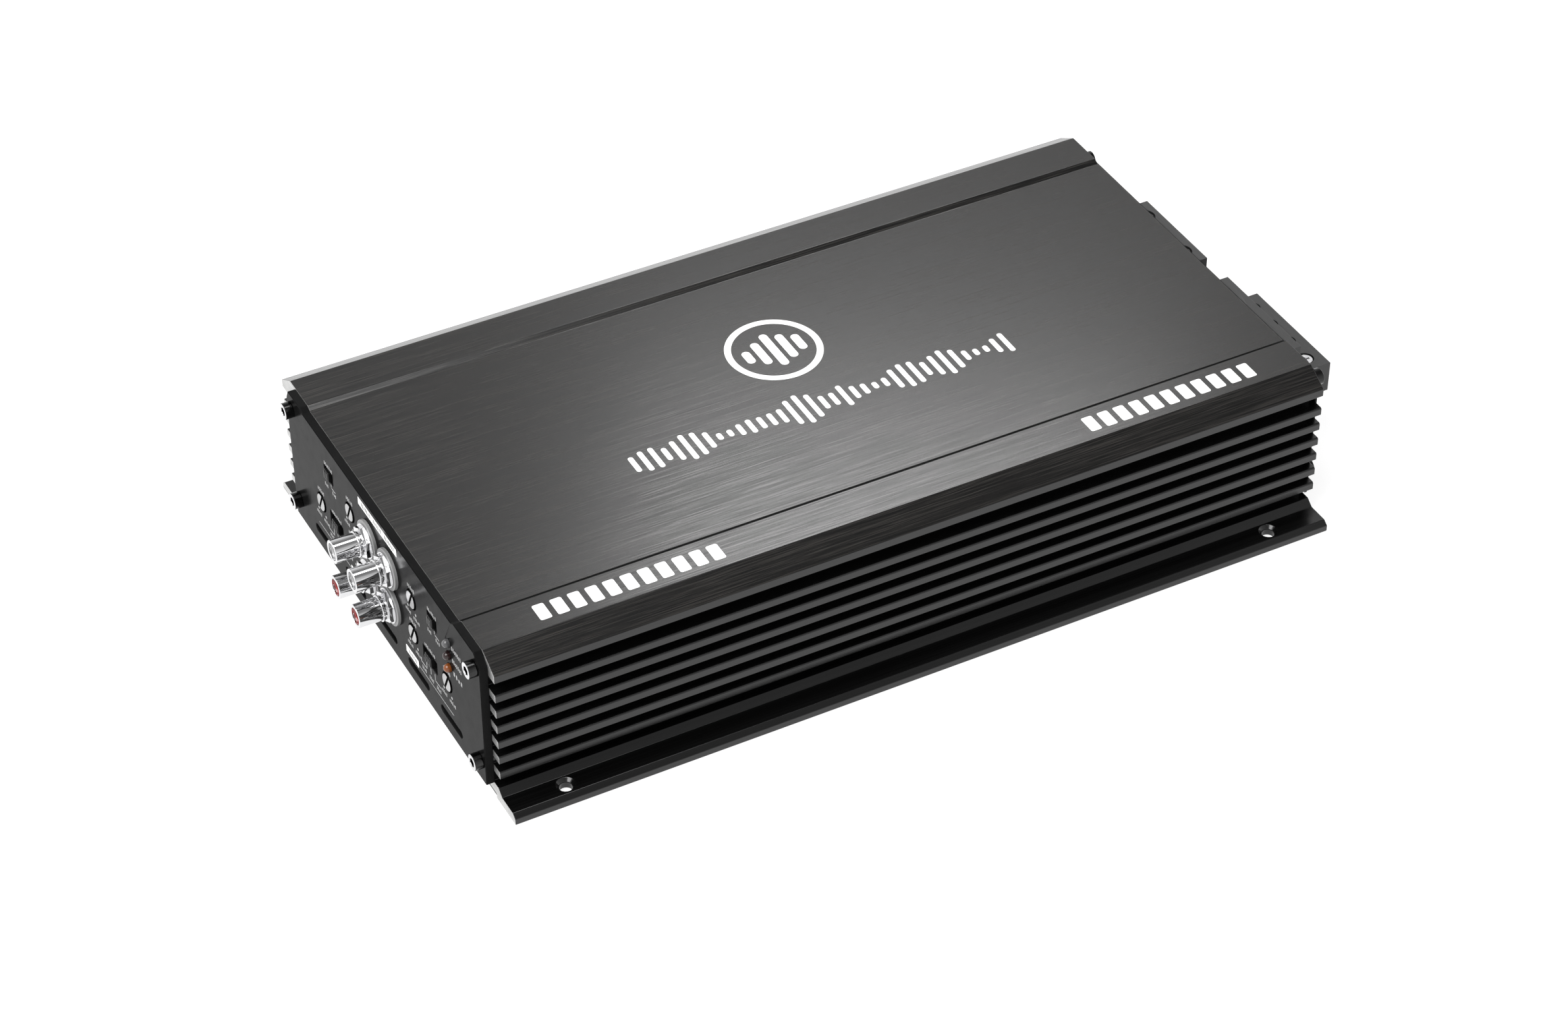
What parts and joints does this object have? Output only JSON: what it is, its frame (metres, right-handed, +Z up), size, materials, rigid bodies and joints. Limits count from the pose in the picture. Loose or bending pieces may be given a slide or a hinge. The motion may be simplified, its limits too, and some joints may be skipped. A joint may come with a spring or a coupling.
{
  "type": "car audio amplifier",
  "caption": "Finned black amplifier case with mounting flanges; phono sockets, trimmers and slide switches at one end, screw terminals at the other.",
  "frame": {"origin": "centre of the four mounting holes, on the plane that the flanges rest on", "axes": "+X along the case towards the speaker and power terminals, +Y to the left of that, +Z up out of the mounting plane"},
  "size_m": [0.3529, 0.1936, 0.0602],
  "materials": {
    "black_aluminium": "brushed, black anodised",
    "black_steel": "satin",
    "zinc_steel": "bright zinc",
    "black_screws": "black zinc",
    "chrome": "polished",
    "white_plastic": "smooth",
    "red_plastic": "smooth",
    "brass": "plated",
    "nickel": "satin",
    "grey_plastic": "smooth",
    "black_plastic": "satin",
    "switch_steel": "plain",
    "clear_lens": "clear",
    "dark_red_lens": "diffused",
    "orange_lens": "diffused",
    "circuit_board": "solder mask",
    "ferrite": "plain",
    "copper_wire": "enamelled",
    "capacitor_sleeve": "smooth",
    "semiconductor": "moulded",
    "thermal_pad": "matt"
  },
  "bodies": {
    "amplifier": {"heatsink_body": "black_aluminium", "bottom_cover": "black_steel", "cover_screws": "black_screws", "input_end_plate": "black_steel", "terminal_end_plate": "black_steel", "input_plate_screws": "zinc_steel", "terminal_plate_screws": "zinc_steel", "rca_shell_1": "chrome", "rca_shell_2": "chrome", "rca_shell_3": "chrome", "rca_shell_4": "chrome", "rca_insulators_white": "white_plastic", "rca_insulators_red": "red_plastic", "rca_contacts": "brass", "rca_washers": "grey_plastic", "rca_nuts": "nickel", "trimmer_bodies": "black_plastic", "slide_switch_bodies": "switch_steel", "power_lamp": "clear_lens", "protect_lamp": "dark_red_lens", "clip_lamp": "orange_lens", "speaker_terminal_block": "black_plastic", "speaker_wire_clamps": "brass", "power_terminal_block": "black_plastic", "power_lugs": "brass", "remote_wire_clamp": "brass", "main_board": "circuit_board", "board_standoffs": "brass", "board_screws": "zinc_steel", "input_board": "circuit_board", "board_connector": "black_plastic", "transformer_cores": "ferrite", "transformer_windings": "copper_wire", "output_inductors": "copper_wire", "filter_capacitors": "capacitor_sleeve", "power_transistors": "semiconductor", "insulator_pads": "thermal_pad", "clamp_bars": "zinc_steel", "clamp_screws": "zinc_steel"},
    "trimmer_1": {"trimmer_shaft_1": "nickel"},
    "trimmer_2": {"trimmer_shaft_2": "nickel"},
    "trimmer_3": {"trimmer_shaft_3": "nickel"},
    "trimmer_4": {"trimmer_shaft_4": "nickel"},
    "trimmer_5": {"trimmer_shaft_5": "nickel"},
    "trimmer_6": {"trimmer_shaft_6": "nickel"},
    "switch_1": {"slide_knob_1": "black_plastic"},
    "switch_2": {"slide_knob_2": "black_plastic"},
    "switch_3": {"slide_knob_3": "black_plastic"},
    "switch_4": {"slide_knob_4": "black_plastic"},
    "speaker_clamp_1": {"speaker_screw_1": "zinc_steel"},
    "speaker_clamp_2": {"speaker_screw_2": "zinc_steel"},
    "speaker_clamp_3": {"speaker_screw_3": "zinc_steel"},
    "speaker_clamp_4": {"speaker_screw_4": "zinc_steel"},
    "speaker_clamp_5": {"speaker_screw_5": "zinc_steel"},
    "speaker_clamp_6": {"speaker_screw_6": "zinc_steel"},
    "speaker_clamp_7": {"speaker_screw_7": "zinc_steel"},
    "speaker_clamp_8": {"speaker_screw_8": "zinc_steel"},
    "power_clamp_1": {"power_screw_1": "zinc_steel"},
    "power_clamp_2": {"power_screw_2": "zinc_steel"},
    "remote_clamp": {"remote_screw": "zinc_steel"}
  },
  "joints": [
    {"name": "trimmer_1_turn", "type": "hinge", "parent": "amplifier", "child": "trimmer_1", "pos_m": [-0.159, 0.0225, 0.0439], "axis": [1, 0, 0], "range_deg": [0, 300]},
    {"name": "trimmer_2_turn", "type": "hinge", "parent": "amplifier", "child": "trimmer_2", "pos_m": [-0.159, 0.0225, 0.029], "axis": [1, 0, 0], "range_deg": [0, 300]},
    {"name": "trimmer_3_turn", "type": "hinge", "parent": "amplifier", "child": "trimmer_3", "pos_m": [-0.159, 0.0492, 0.029], "axis": [1, 0, 0], "range_deg": [0, 300]},
    {"name": "trimmer_4_turn", "type": "hinge", "parent": "amplifier", "child": "trimmer_4", "pos_m": [-0.159, -0.0278, 0.0439], "axis": [1, 0, 0], "range_deg": [0, 300]},
    {"name": "trimmer_5_turn", "type": "hinge", "parent": "amplifier", "child": "trimmer_5", "pos_m": [-0.159, -0.0275, 0.029], "axis": [1, 0, 0], "range_deg": [0, 300]},
    {"name": "trimmer_6_turn", "type": "hinge", "parent": "amplifier", "child": "trimmer_6", "pos_m": [-0.159, -0.0544, 0.029], "axis": [1, 0, 0], "range_deg": [0, 300]},
    {"name": "switch_1_slide", "type": "slide", "parent": "amplifier", "child": "switch_1", "axis": [0, 1, 0], "range_m": [-0.002, 0]},
    {"name": "switch_2_slide", "type": "slide", "parent": "amplifier", "child": "switch_2", "axis": [0, 1, 0], "range_m": [-0.0024, 0.0024]},
    {"name": "switch_3_slide", "type": "slide", "parent": "amplifier", "child": "switch_3", "axis": [0, 1, 0], "range_m": [-0.002, 0]},
    {"name": "switch_4_slide", "type": "slide", "parent": "amplifier", "child": "switch_4", "axis": [0, 1, 0], "range_m": [-0.0024, 0.0024]},
    {"name": "speaker_clamp_1_down", "type": "slide", "parent": "amplifier", "child": "speaker_clamp_1", "axis": [0, 0, -1], "range_m": [0, 0.0042]},
    {"name": "speaker_clamp_2_down", "type": "slide", "parent": "amplifier", "child": "speaker_clamp_2", "axis": [0, 0, -1], "range_m": [0, 0.0042]},
    {"name": "speaker_clamp_3_down", "type": "slide", "parent": "amplifier", "child": "speaker_clamp_3", "axis": [0, 0, -1], "range_m": [0, 0.0042]},
    {"name": "speaker_clamp_4_down", "type": "slide", "parent": "amplifier", "child": "speaker_clamp_4", "axis": [0, 0, -1], "range_m": [0, 0.0042]},
    {"name": "speaker_clamp_5_down", "type": "slide", "parent": "amplifier", "child": "speaker_clamp_5", "axis": [0, 0, -1], "range_m": [0, 0.0042]},
    {"name": "speaker_clamp_6_down", "type": "slide", "parent": "amplifier", "child": "speaker_clamp_6", "axis": [0, 0, -1], "range_m": [0, 0.0042]},
    {"name": "speaker_clamp_7_down", "type": "slide", "parent": "amplifier", "child": "speaker_clamp_7", "axis": [0, 0, -1], "range_m": [0, 0.0042]},
    {"name": "speaker_clamp_8_down", "type": "slide", "parent": "amplifier", "child": "speaker_clamp_8", "axis": [0, 0, -1], "range_m": [0, 0.0042]},
    {"name": "power_clamp_1_down", "type": "slide", "parent": "amplifier", "child": "power_clamp_1", "axis": [0, 0, -1], "range_m": [0, 0.0068]},
    {"name": "power_clamp_2_down", "type": "slide", "parent": "amplifier", "child": "power_clamp_2", "axis": [0, 0, -1], "range_m": [0, 0.0068]},
    {"name": "remote_clamp_down", "type": "slide", "parent": "amplifier", "child": "remote_clamp", "axis": [0, 0, -1], "range_m": [0, 0.0042]}
  ]
}
